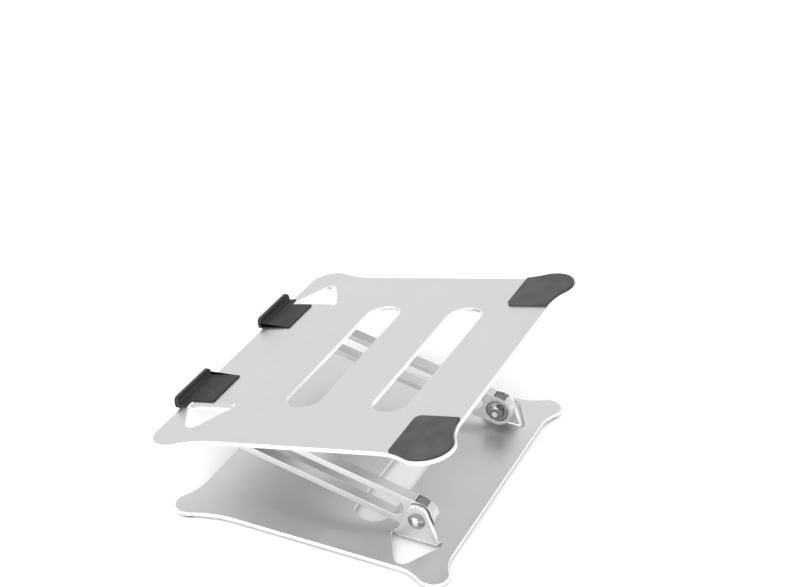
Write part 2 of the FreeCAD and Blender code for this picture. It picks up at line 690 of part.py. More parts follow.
def foot(end_name, side_name):
    """Rubber disc under a lobe of the base plate."""
    side = SIDES[side_name]
    disc = doc.addObject("Part::Cylinder", f"foot_{end_name}_{side_name}")
    disc.Label = f"foot_{end_name}_{side_name}"
    disc.setExpression("Radius", "sheet.foot_radius")
    disc.setExpression("Height", "sheet.foot_thick")
    rear = size("base_rear")
    middle = {"front": rear - size("base_depth") + size("base_front_lobe_inset"),
              "rear": rear - size("base_rear_lobe_inset")}[end_name]
    bottom = -size("axis_drop") - size("plate_thick") - size("foot_thick")
    disc.Placement.Base = Vector(side * size("base_lobe_x"), middle, bottom)
    sub_parts.append((disc, "base"))


# ---------------------------------------------------------------- build, check, write
base_plate()
top_plate()
for side_name in SIDES:
    arm(side_name)
    arm_bushes(side_name)
    arm_bumper(side_name)
    hook_pad(side_name)
    rear_pad(side_name)
    for end_name in ("front", "rear"):
        foot(end_name, side_name)
    for group in ("base", "top"):
        hinge_stack(group, side_name)
for item, group in sub_parts:
    place(item, group)
doc.recompute()

for item in doc.Objects:
    if "Invalid" in item.State or "Error" in item.State:
        raise RuntimeError(f"{item.Label} failed: {item.State}")
whole_box = FreeCAD.BoundBox()
for item, _ in sub_parts:
    if item.Shape.isNull() or not item.Shape.isValid() or len(item.Shape.Solids) != 1:
        raise RuntimeError(f"{item.Label} is not one valid solid")
    whole_box.add(item.Shape.BoundBox)
    item.Shape.exportStep(f"parts/{item.Label}.step")
print(len(sub_parts), "sub-parts,", whole_box)
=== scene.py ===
"""Finished look of the folding laptop stand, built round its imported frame."""
import math

import bmesh
import bpy
from bpy.props import FloatProperty, FloatVectorProperty, PointerProperty
from mathutils import Matrix, Vector
from mathutils.bvhtree import BVHTree


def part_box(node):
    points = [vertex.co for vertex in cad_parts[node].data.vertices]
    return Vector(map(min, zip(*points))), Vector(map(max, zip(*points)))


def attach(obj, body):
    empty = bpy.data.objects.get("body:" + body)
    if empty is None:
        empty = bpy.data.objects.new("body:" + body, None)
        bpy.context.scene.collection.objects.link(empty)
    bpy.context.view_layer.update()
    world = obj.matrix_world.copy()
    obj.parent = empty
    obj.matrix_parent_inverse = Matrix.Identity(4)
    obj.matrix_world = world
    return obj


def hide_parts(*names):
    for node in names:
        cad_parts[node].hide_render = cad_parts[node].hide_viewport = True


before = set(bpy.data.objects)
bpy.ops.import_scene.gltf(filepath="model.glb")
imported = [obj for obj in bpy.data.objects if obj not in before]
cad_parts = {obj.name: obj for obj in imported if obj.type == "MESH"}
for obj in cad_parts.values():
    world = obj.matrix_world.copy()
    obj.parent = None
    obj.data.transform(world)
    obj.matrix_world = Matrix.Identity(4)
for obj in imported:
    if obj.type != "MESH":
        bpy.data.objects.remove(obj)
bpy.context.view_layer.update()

bl_info = {
    "name": "Folding Laptop Stand",
    "version": (1, 0, 0),
    "blender": (4, 5, 0),
    "location": "3D View > Sidebar > Stand",
    "description": "Builds the finished pieces of a folding aluminium laptop stand round its packed frame",
    "category": "Object",
}

MM = 0.001
HINGE_BODIES = ("base", "top")
SIDES = ("left", "right")

SHARP = math.radians(30.0)          # edges that turn more than this are broken
SMOOTH = math.radians(40.0)         # turned and grown pieces are shaded smooth below this
FLAT = math.radians(0.4)            # faces that turn less than this are one face
MERGE = 0.5e-6                      # vertices closer than this are one vertex
HAIR = 0.01 * MM
FOLD_LENGTH = 5 * MM                # a fold is longer than this
DOME_STEPS = 14
TURNED_SIDES = 72
HOLE_PLAY = 0.2 * MM                # between a washer's hole and the bolt
BUSH_PLAY = 0.05 * MM               # between a bush's bore and the bolt
BUSH_END_PLAY = 0.04 * MM           # between a bush's ends and the washers beside it
LAMP_AIM = (0.0, 0.0, 0.05)
# name, place, width, height, whether the metal shows its reflection
LAMPS = {
    "key": ("key_softbox", (0.35, 0.25, 1.7), 1.6, 1.6, False),
    "side": ("side_softbox", (1.35, 0.35, 1.25), 2.4, 2.4, False),
    "low": ("low_softbox", (1.6, -0.5, 0.21), 1.4, 0.4, True),
}


# ---------------------------------------------------------------- sizes and colours that a user would change
def millimetres(label, about, default):
    return FloatProperty(name=label, description=about, default=default * MM, min=0.0, precision=5,
                         subtype="DISTANCE", unit="LENGTH")


def colour(label, about, default):
    return FloatVectorProperty(name=label, description=about, default=default, min=0.0, max=1.0, size=3,
                               subtype="COLOR")


class StandMetal(bpy.types.PropertyGroup):
    """Sizes of the edges on the sheet metal, the arms and the hinge hardware."""

    sheet: millimetres("Sheet", "Thickness of both plates' sheet", 3.0)
    arm_edge: millimetres("Arm edge", "Width of the softened edges of the arms", 0.35)
    edge_break: millimetres("Edge break", "Width of the bright machined chamfer round the plates and arms", 0.42)
    fold_radius: millimetres("Inner fold radius", "Inside radius where a hinge ear is bent up from its plate", 1.3)
    flange_round: millimetres("Flange rounding", "Rounding of the thin flange under the bolt's dome", 0.25)
    brow: FloatProperty(name="Brow", description="Dome's radius as a share of the flange's", default=0.92)
    flange: millimetres("Flange", "Thickness of the flange under the bolt's dome", 0.8)
    bush_round: millimetres("Bush rounding", "Rounding of the bushes' edges", 0.3)
    bush_wall: millimetres("Bush wall", "Wall of the bronze bushes, which leaves the bolt's radius", 1.0)
    stud_chamfer: millimetres("Stud chamfer", "Chamfer at the threaded end of a bolt", 0.6)
    washer_round: millimetres("Washer rounding", "Rounding of the washers' edges", 0.18)
    nut_chamfer: millimetres("Nut chamfer", "Depth that the nut's corners are turned away", 0.45)
    aluminium: colour("Aluminium", "Blasted and clear anodised aluminium", (0.67, 0.67, 0.662))
    cut_edge: colour("Machined edge", "Aluminium where a cutter has broken the edge", (0.90, 0.90, 0.90))
    steel: colour("Bright steel", "Polished and plated hinge hardware", (0.34, 0.34, 0.345))
    # Painted highlight: the next two settings give a lighter steel colour painted in the middle of each bolt's dome,
    # and its radius, standing in for the reflection there.
    crown: colour("Painted highlight", "Lighter steel colour painted in the middle of a bolt as a highlight", (0.95, 0.95, 0.95))
    painted_highlight_radius: millimetres("Painted highlight radius", "Radius of the painted highlight in the middle of a bolt", 2.9)
    bronze: colour("Bearing bronze", "Bushes in the arms", (0.56, 0.36, 0.16))


class StandRubber(bpy.types.PropertyGroup):
    """Sizes of the rubber and nylon pieces."""

    pad_round: millimetres("Pad rounding", "Rounding of the hook pads' edges", 0.6)
    sheet_round: millimetres("Rear pad rounding", "Rounding of the rear pads' edges", 0.4)
    bumper_round: millimetres("Bumper rounding", "Rounding of the rubber block let into an arm", 1.1)
    foot_round: millimetres("Foot rounding", "Rounding of a foot's lower edge", 0.6)
    foot_dish: millimetres("Foot dish", "Depth of the shallow dish under a foot", 0.5)
    pads: colour("Pad rubber", "Dark rubber that the laptop rests on", (0.046, 0.046, 0.047))
    hooks: colour("Hook rubber", "Darker rubber that lines the hooks", (0.016, 0.016, 0.017))
    bumper: colour("Bumper rubber", "Grey rubber of the folding stops", (0.150, 0.150, 0.148))
    # Dark grey nylon: partly the washers' own colour and partly painted shade, chosen this dark so the narrow gap
    # between ear and arm and the ring in the arm's well read dark.
    nylon: colour("Bearing nylon", "Friction washers and the nuts' locking rings", (0.075, 0.075, 0.078))


class StandStudio(bpy.types.PropertyGroup):
    """Camera, floor and lights."""

    azimuth: FloatProperty(name="Azimuth", description="Direction that the camera stands in",
                           default=math.radians(114.96), subtype="ANGLE", unit="ROTATION")
    elevation: FloatProperty(name="Elevation", description="Camera's height above the horizon",
                             default=math.radians(29.47), subtype="ANGLE", unit="ROTATION")
    roll: FloatProperty(name="Roll", description="Camera's turn about its own axis", default=math.radians(-0.208),
                        subtype="ANGLE", unit="ROTATION")
    distance: FloatProperty(name="Distance", description="Camera to the point that it looks at", default=1.09819,
                            subtype="DISTANCE", unit="LENGTH")
    aim: FloatVectorProperty(name="Aim", description="Point that the camera looks at", default=(0.0, 0.01931, 0.14098),
                             size=3, subtype="XYZ", unit="LENGTH")
    lens: FloatProperty(name="Lens", description="Focal length in millimetres", default=74.28, min=10.0)
    floor: colour("Floor", "Plain pale floor", (0.90, 0.90, 0.90))
    sky: FloatProperty(name="Room light", description="Strength of the light that comes from all round", default=1.02,
                       min=0.0)
    key: FloatProperty(name="Key light", description="Power of the large soft light overhead, in watts", default=8.0,
                       min=0.0)
    side: FloatProperty(name="Side light", description="Power of the soft light on the camera's side, in watts",
                        default=26.0, min=0.0)
    low: FloatProperty(name="Low light", description="Power of the long light beside the floor, in watts", default=12.0,
                       min=0.0)
    floor_side: FloatProperty(name="Floor side", description="Side of the square floor", default=8.0,
                              subtype="DISTANCE", unit="LENGTH")


# ---------------------------------------------------------------- shader node groups
def shader_group(name, inputs, outputs):
    """Empty shader group with named inputs (name, default) and named outputs."""
    group = bpy.data.node_groups.new(name, "ShaderNodeTree")
    for label, default in inputs:
        kind = "NodeSocketFloat" if isinstance(default, float) else "NodeSocketColor"
        socket = group.interface.new_socket(name=label, in_out="INPUT", socket_type=kind)
        socket.default_value = default if isinstance(default, float) else (*default, 1.0)
    for label, kind in outputs:
        group.interface.new_socket(name=label, in_out="OUTPUT", socket_type=kind)
    return group, group.nodes.new("NodeGroupInput"), group.nodes.new("NodeGroupOutput")


def math_node(tree, operation, first, second, third=None):
    """Math node between sockets or numbers; returns its output."""
    node = tree.nodes.new("ShaderNodeMath")
    node.operation = operation
    for index, value in enumerate((first, second, third)):
        if isinstance(value, (int, float)):
            node.inputs[index].default_value = value
        elif value is not None:
            tree.links.new(value, node.inputs[index])
    return node.outputs[0]


def noise(tree, where, scale, detail=2.0, roughness=0.5):
    """Noise texture read at where; scale is a number or a socket."""
    node = tree.nodes.new("ShaderNodeTexNoise")
    node.inputs["Detail"].default_value = detail
    node.inputs["Roughness"].default_value = roughness
    tree.links.new(where, node.inputs["Vector"])
    if isinstance(scale, (int, float)):
        node.inputs["Scale"].default_value = scale
    else:
        tree.links.new(scale, node.inputs["Scale"])
    return node.outputs["Fac"]


def spread(tree, value, low, high, new_low, new_high):
    """Map Range node; returns its output. The four limits are numbers or sockets."""
    node = tree.nodes.new("ShaderNodeMapRange")
    tree.links.new(value, node.inputs["Value"])
    for label, limit in (("From Min", low), ("From Max", high), ("To Min", new_low), ("To Max", new_high)):
        if isinstance(limit, (int, float)):
            node.inputs[label].default_value = limit
        else:
            tree.links.new(limit, node.inputs[label])
    return node.outputs["Result"]


def fine_grain_group():
    """Blasted or moulded grain: a height for the bump, and a colour a little uneven with it."""
    group, given, made = shader_group(
        "fine_grain",
        [("Colour", (0.8, 0.8, 0.8)), ("Grains per metre", 2500.0), ("Unevenness", 0.03), ("Patches per metre", 18.0)],
        [("Colour", "NodeSocketColor"), ("Height", "NodeSocketFloat")])
    where = group.nodes.new("ShaderNodeTexCoord").outputs["Object"]
    grain = noise(group, where, given.outputs["Grains per metre"], 3.0, 0.6)
    patches = noise(group, where, given.outputs["Patches per metre"], 3.0, 0.55)
    both = math_node(group, "MULTIPLY_ADD", grain, 0.55, math_node(group, "MULTIPLY", patches, 0.9))
    dark = math_node(group, "SUBTRACT", 1.0, given.outputs["Unevenness"])
    light = math_node(group, "ADD", 1.0, given.outputs["Unevenness"])
    share = spread(group, both, 0.45, 1.0, dark, light)
    mix = group.nodes.new("ShaderNodeMix")
    mix.data_type, mix.blend_type = "RGBA", "MULTIPLY"
    mix.inputs["Factor"].default_value = 1.0
    group.links.new(given.outputs["Colour"], mix.inputs["A"])
    group.links.new(share, mix.inputs["B"])
    group.links.new(mix.outputs["Result"], made.inputs["Colour"])
    group.links.new(grain, made.inputs["Height"])
    return group


def handling_group():
    """Roughness that hands and cloths leave: soft smudges with a few faint wiped streaks."""
    group, given, made = shader_group(
        "handling", [("Clean", 0.36), ("Smudged", 0.46), ("Smudges per metre", 24.0)],
        [("Roughness", "NodeSocketFloat"), ("Mask", "NodeSocketFloat")])
    where = group.nodes.new("ShaderNodeTexCoord").outputs["Object"]
    smudges = noise(group, where, given.outputs["Smudges per metre"], 4.0, 0.6)
    stretch = group.nodes.new("ShaderNodeMapping")
    stretch.inputs["Rotation"].default_value = (0.0, 0.0, 0.6)
    stretch.inputs["Scale"].default_value = (14.0, 220.0, 60.0)
    group.links.new(where, stretch.inputs["Vector"])
    streaks = noise(group, stretch.outputs["Vector"], 1.0, 3.0, 0.5)
    both = math_node(group, "MULTIPLY_ADD", streaks, 0.35, math_node(group, "MULTIPLY", smudges, 0.65))
    mask = spread(group, both, 0.38, 0.66, 0.0, 1.0)
    group.links.new(mask, made.inputs["Mask"])
    group.links.new(spread(group, mask, 0.0, 1.0, given.outputs["Clean"], given.outputs["Smudged"]),
                    made.inputs["Roughness"])
    return group


def turned_rings_and_painted_highlight_group():
    """Faint rings that a lathe leaves round a hinge axis, and the mask of the painted highlight in the middle of a
    bolt.
    """
    group, given, made = shader_group(
        "turned_marks", [("Axis Y", 0.0), ("Axis Z", 0.0), ("Rings per metre", 3500.0), ("Crown Radius", 0.0029)],
        [("Height", "NodeSocketFloat"), ("Crown", "NodeSocketFloat")])
    where = group.nodes.new("ShaderNodeTexCoord").outputs["Object"]
    split = group.nodes.new("ShaderNodeSeparateXYZ")
    group.links.new(where, split.inputs[0])
    aside = math_node(group, "SUBTRACT", split.outputs["Y"], given.outputs["Axis Y"])
    above = math_node(group, "SUBTRACT", split.outputs["Z"], given.outputs["Axis Z"])
    squares = math_node(group, "MULTIPLY_ADD", aside, aside, math_node(group, "MULTIPLY", above, above))
    radius = math_node(group, "SQRT", squares, 0.0)
    join = group.nodes.new("ShaderNodeCombineXYZ")
    group.links.new(math_node(group, "MULTIPLY", radius, given.outputs["Rings per metre"]), join.inputs["X"])
    group.links.new(math_node(group, "MULTIPLY", split.outputs["X"], 150.0), join.inputs["Y"])
    group.links.new(noise(group, join.outputs[0], 1.0, 2.0, 0.6), made.inputs["Height"])
    # Painted highlight mask: full inside 35% of the highlight's radius, fading to nothing at its edge.
    inside = math_node(group, "MULTIPLY", given.outputs["Crown Radius"], 0.35)
    group.links.new(spread(group, radius, inside, given.outputs["Crown Radius"], 1.0, 0.0), made.inputs["Crown"])
    return group


def dust_group():
    """Rubber's pale bloom: a lighter colour in soft patches and in tiny specks."""
    group, given, made = shader_group(
        "dust", [("Colour", (0.05, 0.05, 0.05)), ("Bloom", (0.2, 0.2, 0.2)), ("Amount", 0.2),
                 ("Pebbles per metre", 1800.0)],
        [("Colour", "NodeSocketColor"), ("Height", "NodeSocketFloat")])
    where = group.nodes.new("ShaderNodeTexCoord").outputs["Object"]
    pebbles = group.nodes.new("ShaderNodeTexVoronoi")
    pebbles.feature = "SMOOTH_F1"
    group.links.new(where, pebbles.inputs["Vector"])
    group.links.new(given.outputs["Pebbles per metre"], pebbles.inputs["Scale"])
    patches = noise(group, where, 55.0, 4.0, 0.6)
    specks = noise(group, where, 1400.0, 2.0, 0.5)
    speck_mask = spread(group, specks, 0.62, 0.74, 0.0, 0.8)
    patch_mask = spread(group, patches, 0.40, 0.70, 0.0, 1.0)
    mask = math_node(group, "MULTIPLY", math_node(group, "MAXIMUM", speck_mask, patch_mask), given.outputs["Amount"])
    mix = group.nodes.new("ShaderNodeMix")
    mix.data_type = "RGBA"
    group.links.new(mask, mix.inputs["Factor"])
    group.links.new(given.outputs["Colour"], mix.inputs["A"])
    group.links.new(given.outputs["Bloom"], mix.inputs["B"])
    group.links.new(mix.outputs["Result"], made.inputs["Colour"])
    group.links.new(pebbles.outputs["Distance"], made.inputs["Height"])
    return group


def shader_groups():
    """The shared groups, built once."""
    if "fine_grain" not in bpy.data.node_groups:
        fine_grain_group()
        handling_group()
        turned_rings_and_painted_highlight_group()
        dust_group()


def place_group(tree, name, values):
    """Put a shared group into a material with its own values."""
    node = tree.nodes.new("ShaderNodeGroup")
    node.node_tree = bpy.data.node_groups[name]
    for label, value in values.items():
        node.inputs[label].default_value = value if isinstance(value, (int, float)) else (*value, 1.0)
    return node


# ---------------------------------------------------------------- materials
def blank_material(name, constants):
    """Material with a Principled shader whose constants sit on its own sockets."""
    shader_groups()
    material = bpy.data.materials.new(name)
    material.use_nodes = True
    shader = material.node_tree.nodes["Principled BSDF"]
    for label, value in constants.items():
        shader.inputs[label].default_value = value
    return material, material.node_tree, shader


def add_bump(tree, shader, height, distance):
    """Bump the shader's normal by a height; distance is the relief's full depth."""
    bump = tree.nodes.new("ShaderNodeBump")
    bump.inputs["Distance"].default_value = distance
    bump.inputs["Strength"].default_value = 1.0
    tree.links.new(height, bump.inputs["Height"])
    tree.links.new(bump.outputs["Normal"], shader.inputs["Normal"])


def metal_material(name, tint, clean, smudged, grains, bump, unevenness):
    """Metal with a fine grain and faint handling marks."""
    if name in bpy.data.materials:
        return bpy.data.materials[name]
    material, tree, shader = blank_material(name, {"Metallic": 1.0})
    grain = place_group(tree, "fine_grain",
                        {"Colour": tint, "Grains per metre": grains, "Unevenness": unevenness})
    marks = place_group(tree, "handling", {"Clean": clean, "Smudged": smudged})
    tree.links.new(grain.outputs["Colour"], shader.inputs["Base Color"])
    tree.links.new(marks.outputs["Roughness"], shader.inputs["Roughness"])
    add_bump(tree, shader, grain.outputs["Height"], bump)
    return material


def satin_aluminium():
    return metal_material("satin_aluminium_finish", stand().metal.aluminium, clean=0.34, smudged=0.42, grains=2600.0,
                          bump=0.012 * MM, unevenness=0.02)


def machined_edge():
    return metal_material("machined_edge_finish", stand().metal.cut_edge, clean=0.22, smudged=0.30, grains=3600.0,
                          bump=0.004 * MM, unevenness=0.01)


def turned_material(name, tint, body, roughness, bump, metallic=1.0, crown=None):
    """Finish of a piece turned about one hinge axis; crown is the colour of a painted highlight in the middle of a
    bolt.
    """
    name = f"{name}_{body}"
    if name in bpy.data.materials:
        return bpy.data.materials[name]
    material, tree, shader = blank_material(name, {"Metallic": metallic})
    axis = hinge_axis(body)
    grain = place_group(tree, "fine_grain", {"Colour": tint, "Grains per metre": 900.0, "Unevenness": 0.02})
    marks = place_group(tree, "handling", {"Clean": roughness, "Smudged": 1.5 * roughness, "Smudges per metre": 120.0})
    rings = place_group(tree, "turned_marks", {"Axis Y": axis.y, "Axis Z": axis.z})
    if crown is None:
        tree.links.new(grain.outputs["Colour"], shader.inputs["Base Color"])
    else:
        # Painted highlight: the lighter colour is mixed in at the middle of the bolt, round the hinge axis.
        rings.inputs["Crown Radius"].default_value = stand().metal.painted_highlight_radius
        mix = tree.nodes.new("ShaderNodeMix")
        mix.data_type = "RGBA"
        mix.inputs["B"].default_value = (*crown, 1.0)
        tree.links.new(rings.outputs["Crown"], mix.inputs["Factor"])
        tree.links.new(grain.outputs["Colour"], mix.inputs["A"])
        tree.links.new(mix.outputs["Result"], shader.inputs["Base Color"])
    tree.links.new(marks.outputs["Roughness"], shader.inputs["Roughness"])
    add_bump(tree, shader, rings.outputs["Height"], bump)
    return material


def bright_steel(body):
    return turned_material("bright_steel_finish", stand().metal.steel, body, 0.10, 0.003 * MM)


def bolt_steel(body):
    # Bolt steel with a painted highlight: a lighter colour in the middle of each dome.
    metal = stand().metal
    return turned_material("bolt_steel_finish", metal.steel, body, 0.12, 0.003 * MM, crown=metal.crown)


def bearing_bronze():
    return turned_material("bearing_bronze_finish", stand().metal.bronze, "base", 0.30, 0.004 * MM)


# The nylon's dark grey is partly painted shade in the gap between ear and arm and in the arm's well.
def bearing_nylon(body):
    return turned_material("bearing_nylon_finish", stand().rubber.nylon, body, 0.42, 0.004 * MM, metallic=0.0)


def rubber_material(name, tint, bloom, amount, roughness):
    """Rubber with a pebbled skin and a little pale bloom."""
    if name in bpy.data.materials:
        return bpy.data.materials[name]
    material, tree, shader = blank_material(name, {"Metallic": 0.0, "Specular IOR Level": 0.35})
    dust = place_group(tree, "dust", {"Colour": tint, "Bloom": bloom, "Amount": amount})
    marks = place_group(tree, "handling", {"Clean": roughness, "Smudged": min(1.0, roughness + 0.14),
                                           "Smudges per metre": 60.0})
    tree.links.new(dust.outputs["Colour"], shader.inputs["Base Color"])
    tree.links.new(marks.outputs["Roughness"], shader.inputs["Roughness"])
    add_bump(tree, shader, dust.outputs["Height"], 0.06 * MM)
    return material


def pad_rubber():
    return rubber_material("pad_rubber_finish", stand().rubber.pads, bloom=(0.16, 0.16, 0.16), amount=0.18,
                           roughness=0.58)


def hook_rubber():
    return rubber_material("hook_rubber_finish", stand().rubber.hooks, bloom=(0.07, 0.07, 0.07), amount=0.16,
                           roughness=0.50)


def bumper_rubber():
    return rubber_material("bumper_rubber_finish", stand().rubber.bumper, bloom=(0.32, 0.32, 0.32), amount=0.25,
                           roughness=0.62)


# ---------------------------------------------------------------- what the frame gives
def stand():
    return bpy.context.scene.laptop_stand


def hinge_axis(body):
    """Middle of the hinge axis that a body's bolts lie on."""
    low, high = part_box(f"{body}_bolt_right")
    return Vector((0.0, 0.5 * (low.y + high.y), 0.5 * (low.z + high.z)))


def span_x(node):
    """Inner and outer X of a right-hand node."""
    low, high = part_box(node)
    return low.x, high.x


def half_height(node):
    low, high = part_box(node)
    return 0.5 * (high.y - low.y)


# ---------------------------------------------------------------- mesh code
def new_piece(name, mesh, body, nodes):
    """Link a finished mesh as a piece that rides on a body and stands for its nodes."""
    piece = bpy.data.objects.new(name, mesh)
    bpy.context.scene.collection.objects.link(piece)
    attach(piece, body)
    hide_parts(*nodes)
    return piece


def smooth_mesh(mesh):
    """Smooth shading, with the sharper edges kept sharp."""
    mesh.polygons.foreach_set("use_smooth", [True] * len(mesh.polygons))
    mesh.set_sharp_from_angle(angle=SMOOTH)


def merged_copy(node):
    """A CAD node's mesh with its loose triangles merged and its flat faces joined."""
    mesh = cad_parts[node].data.copy()
    mesh.materials.clear()
    form = bmesh.new()
    form.from_mesh(mesh)
    bmesh.ops.remove_doubles(form, verts=form.verts, dist=MERGE)
    for face in form.faces:
        face.material_index = 0
        face.smooth = True
    bmesh.ops.dissolve_limit(form, angle_limit=FLAT, verts=form.verts, edges=form.edges,
                             use_dissolve_boundaries=False)
    return mesh, form


def mark_cut_faces(form, thickness):
    """Give the sheet's cut edges the second finish: faces with no opposite face one thickness below them."""
    tree = BVHTree.FromBMesh(form)
    widest = {}
    for corners in form.calc_loop_triangles():
        points = [corner.vert.co for corner in corners]
        area = (points[1] - points[0]).cross(points[2] - points[0]).length
        face = corners[0].face
        if area > widest.get(face, (0.0, None))[0]:
            widest[face] = (area, sum(points, Vector()) / 3)
    for face, (area, middle) in widest.items():
        hit = tree.ray_cast(middle - face.normal * HAIR, -face.normal)
        if hit[3] is None or hit[3] > 1.2 * thickness:
            face.material_index = 1


def is_fold(edge, fold_x):
    """True for the inside corner between a hinge ear and its plate: long, hollow and on the ear's outer face."""
    return (not edge.is_convex and edge.calc_length() > FOLD_LENGTH
            and all(abs(abs(vertex.co.x) - fold_x) < 2 * HAIR for vertex in edge.verts))


def break_edges(name, mesh, form, width, finishes, segments=3, fold_x=None, fold_radius=0.0):
    """Round every sharp edge by width, the folds by their own radius, and hand back a plain mesh."""
    largest = max(width, fold_radius)
    weights = form.edges.layers.float.new("bevel_weight_edge")
    for edge in form.edges:
        if len(edge.link_faces) == 2 and edge.calc_face_angle(0.0) > SHARP:
            fold = fold_x is not None and is_fold(edge, fold_x)
            if fold or edge.is_convex:
                edge[weights] = (fold_radius if fold else width) / largest
    form.to_mesh(mesh)
    form.free()
    for finish in finishes:
        mesh.materials.append(finish)
    shape = bpy.data.objects.new(name, mesh)
    bpy.context.scene.collection.objects.link(shape)
    bevel = shape.modifiers.new("edge_break", "BEVEL")
    bevel.limit_method = "WEIGHT"
    bevel.width = largest
    bevel.segments = segments
    bevel.use_clamp_overlap = False
    bevel.miter_outer = "MITER_ARC"
    bevel.material = len(finishes) - 1
    weighted = shape.modifiers.new("flat_faces_stay_flat", "WEIGHTED_NORMAL")
    weighted.mode = "FACE_AREA"
    weighted.weight = 50
    return plain_mesh(shape, name)


def plain_mesh(shape, name):
    """The evaluated object as a plain mesh; the object it came from is removed."""
    graph = bpy.context.evaluated_depsgraph_get()
    mesh = bpy.data.meshes.new_from_object(shape.evaluated_get(graph), preserve_all_data_layers=True, depsgraph=graph)
    mesh.name = name
    old = shape.data
    bpy.data.objects.remove(shape)
    if old.users == 0:
        bpy.data.meshes.remove(old)
    return mesh


def filleted(points, radius, steps=4):
    """Open profile with its inner corners rounded; points are (along, out)."""
    made = [Vector(points[0])]
    for before, corner, after in zip(points, points[1:], points[2:]):
        before, corner, after = Vector(before), Vector(corner), Vector(after)
        back, on = (before - corner), (after - corner)
        turn = back.angle(on)
        reach = min(radius / math.tan(turn / 2), 0.45 * back.length, 0.45 * on.length)
        if turn > math.radians(165) or reach < HAIR:
            made.append(corner)
            continue
        start, end = corner + back.normalized() * reach, corner + on.normalized() * reach
        for step in range(steps + 1):
            share = step / steps
            made.append(start.lerp(corner, share).lerp(corner.lerp(end, share), share))
    made.append(Vector(points[-1]))
    return made


def turned_form(profile, closed, sides=TURNED_SIDES, reach=None):
    """Surface turned about X. profile holds (along, out); a closed one is a ring, an open one ends on the axis.

    reach(out, along, angle) may change the radius round the turn, as a hexagon's flats do.
    """
    form = bmesh.new()
    rows = []
    for along, out in profile:
        if out < 1e-7:
            rows.append([form.verts.new((along, 0.0, 0.0))])
            continue
        row = []
        for side in range(sides):
            angle = 2 * math.pi * side / sides
            here, radius = (along, out) if reach is None else reach(along, out, angle)
            row.append(form.verts.new((here, radius * math.cos(angle), radius * math.sin(angle))))
        rows.append(row)
    pairs = list(zip(rows, rows[1:])) + ([(rows[-1], rows[0])] if closed else [])
    for first, second in pairs:
        for side in range(sides):
            ahead = (side + 1) % sides
            corners = [first[side % len(first)], first[ahead % len(first)], second[ahead % len(second)],
                       second[side % len(second)]]
            form.faces.new(list(dict.fromkeys(corners)))
    bmesh.ops.recalc_face_normals(form, faces=form.faces)
    return form


def form_to_mesh(form, name):
    mesh = bpy.data.meshes.new(name)
    form.to_mesh(mesh)
    form.free()
    smooth_mesh(mesh)
    return mesh


# ---------------------------------------------------------------- geometry node trees
def geometry_tree(name, inputs):
    """Empty geometry tree with named inputs (name, socket type, default) and one geometry output."""
    tree = bpy.data.node_groups.new(name, "GeometryNodeTree")
    tree.is_modifier = True
    tree.interface.new_socket(name="Geometry", in_out="OUTPUT", socket_type="NodeSocketGeometry")
    for label, kind, default in inputs:
        socket = tree.interface.new_socket(name=label, in_out="INPUT", socket_type=kind)
        if default is not None:
            socket.default_value = default
    return tree, tree.nodes.new("NodeGroupInput"), tree.nodes.new("NodeGroupOutput")


def wire(tree, *pairs):
    for source, target in pairs:
        tree.links.new(source, target)


def place_and_finish(tree, given, made, points, rotation=None):
    """End a tree: the piece at each point, made real and given its finish."""
    put = tree.nodes.new("GeometryNodeInstanceOnPoints")
    real = tree.nodes.new("GeometryNodeRealizeInstances")
    finish = tree.nodes.new("GeometryNodeSetMaterial")
    if rotation is not None:
        wire(tree, (rotation, put.inputs["Rotation"]))
    wire(tree, (points, put.inputs["Points"]), (given.outputs["Piece"], put.inputs["Instance"]),
         (put.outputs["Instances"], real.inputs[0]), (real.outputs[0], finish.inputs["Geometry"]),
         (given.outputs["Finish"], finish.inputs["Material"]), (finish.outputs[0], made.inputs[0]))


def hinge_pair_tree():
    """A right-hand piece drawn about the origin's X axis, put on a hinge axis and turned round for the left."""
    if "hinge_pair" in bpy.data.node_groups:
        return bpy.data.node_groups["hinge_pair"]
    tree, given, made = geometry_tree("hinge_pair", [
        ("Piece", "NodeSocketGeometry", None), ("Axis", "NodeSocketVector", (0.0, 0.0, 0.0)),
        ("Finish", "NodeSocketMaterial", None)])
    stations = tree.nodes.new("GeometryNodeMeshLine")
    stations.inputs["Count"].default_value = 2
    stations.inputs["Offset"].default_value = (0.0, 0.0, 0.0)
    index = tree.nodes.new("GeometryNodeInputIndex")
    half_turns = math_node(tree, "MULTIPLY", index.outputs[0], math.pi)
    about_z = tree.nodes.new("ShaderNodeCombineXYZ")
    turn = tree.nodes.new("FunctionNodeEulerToRotation")
    wire(tree, (given.outputs["Axis"], stations.inputs["Start Location"]), (half_turns, about_z.inputs["Z"]),
         (about_z.outputs[0], turn.inputs[0]))
    place_and_finish(tree, given, made, stations.outputs["Mesh"], turn.outputs[0])
    return tree


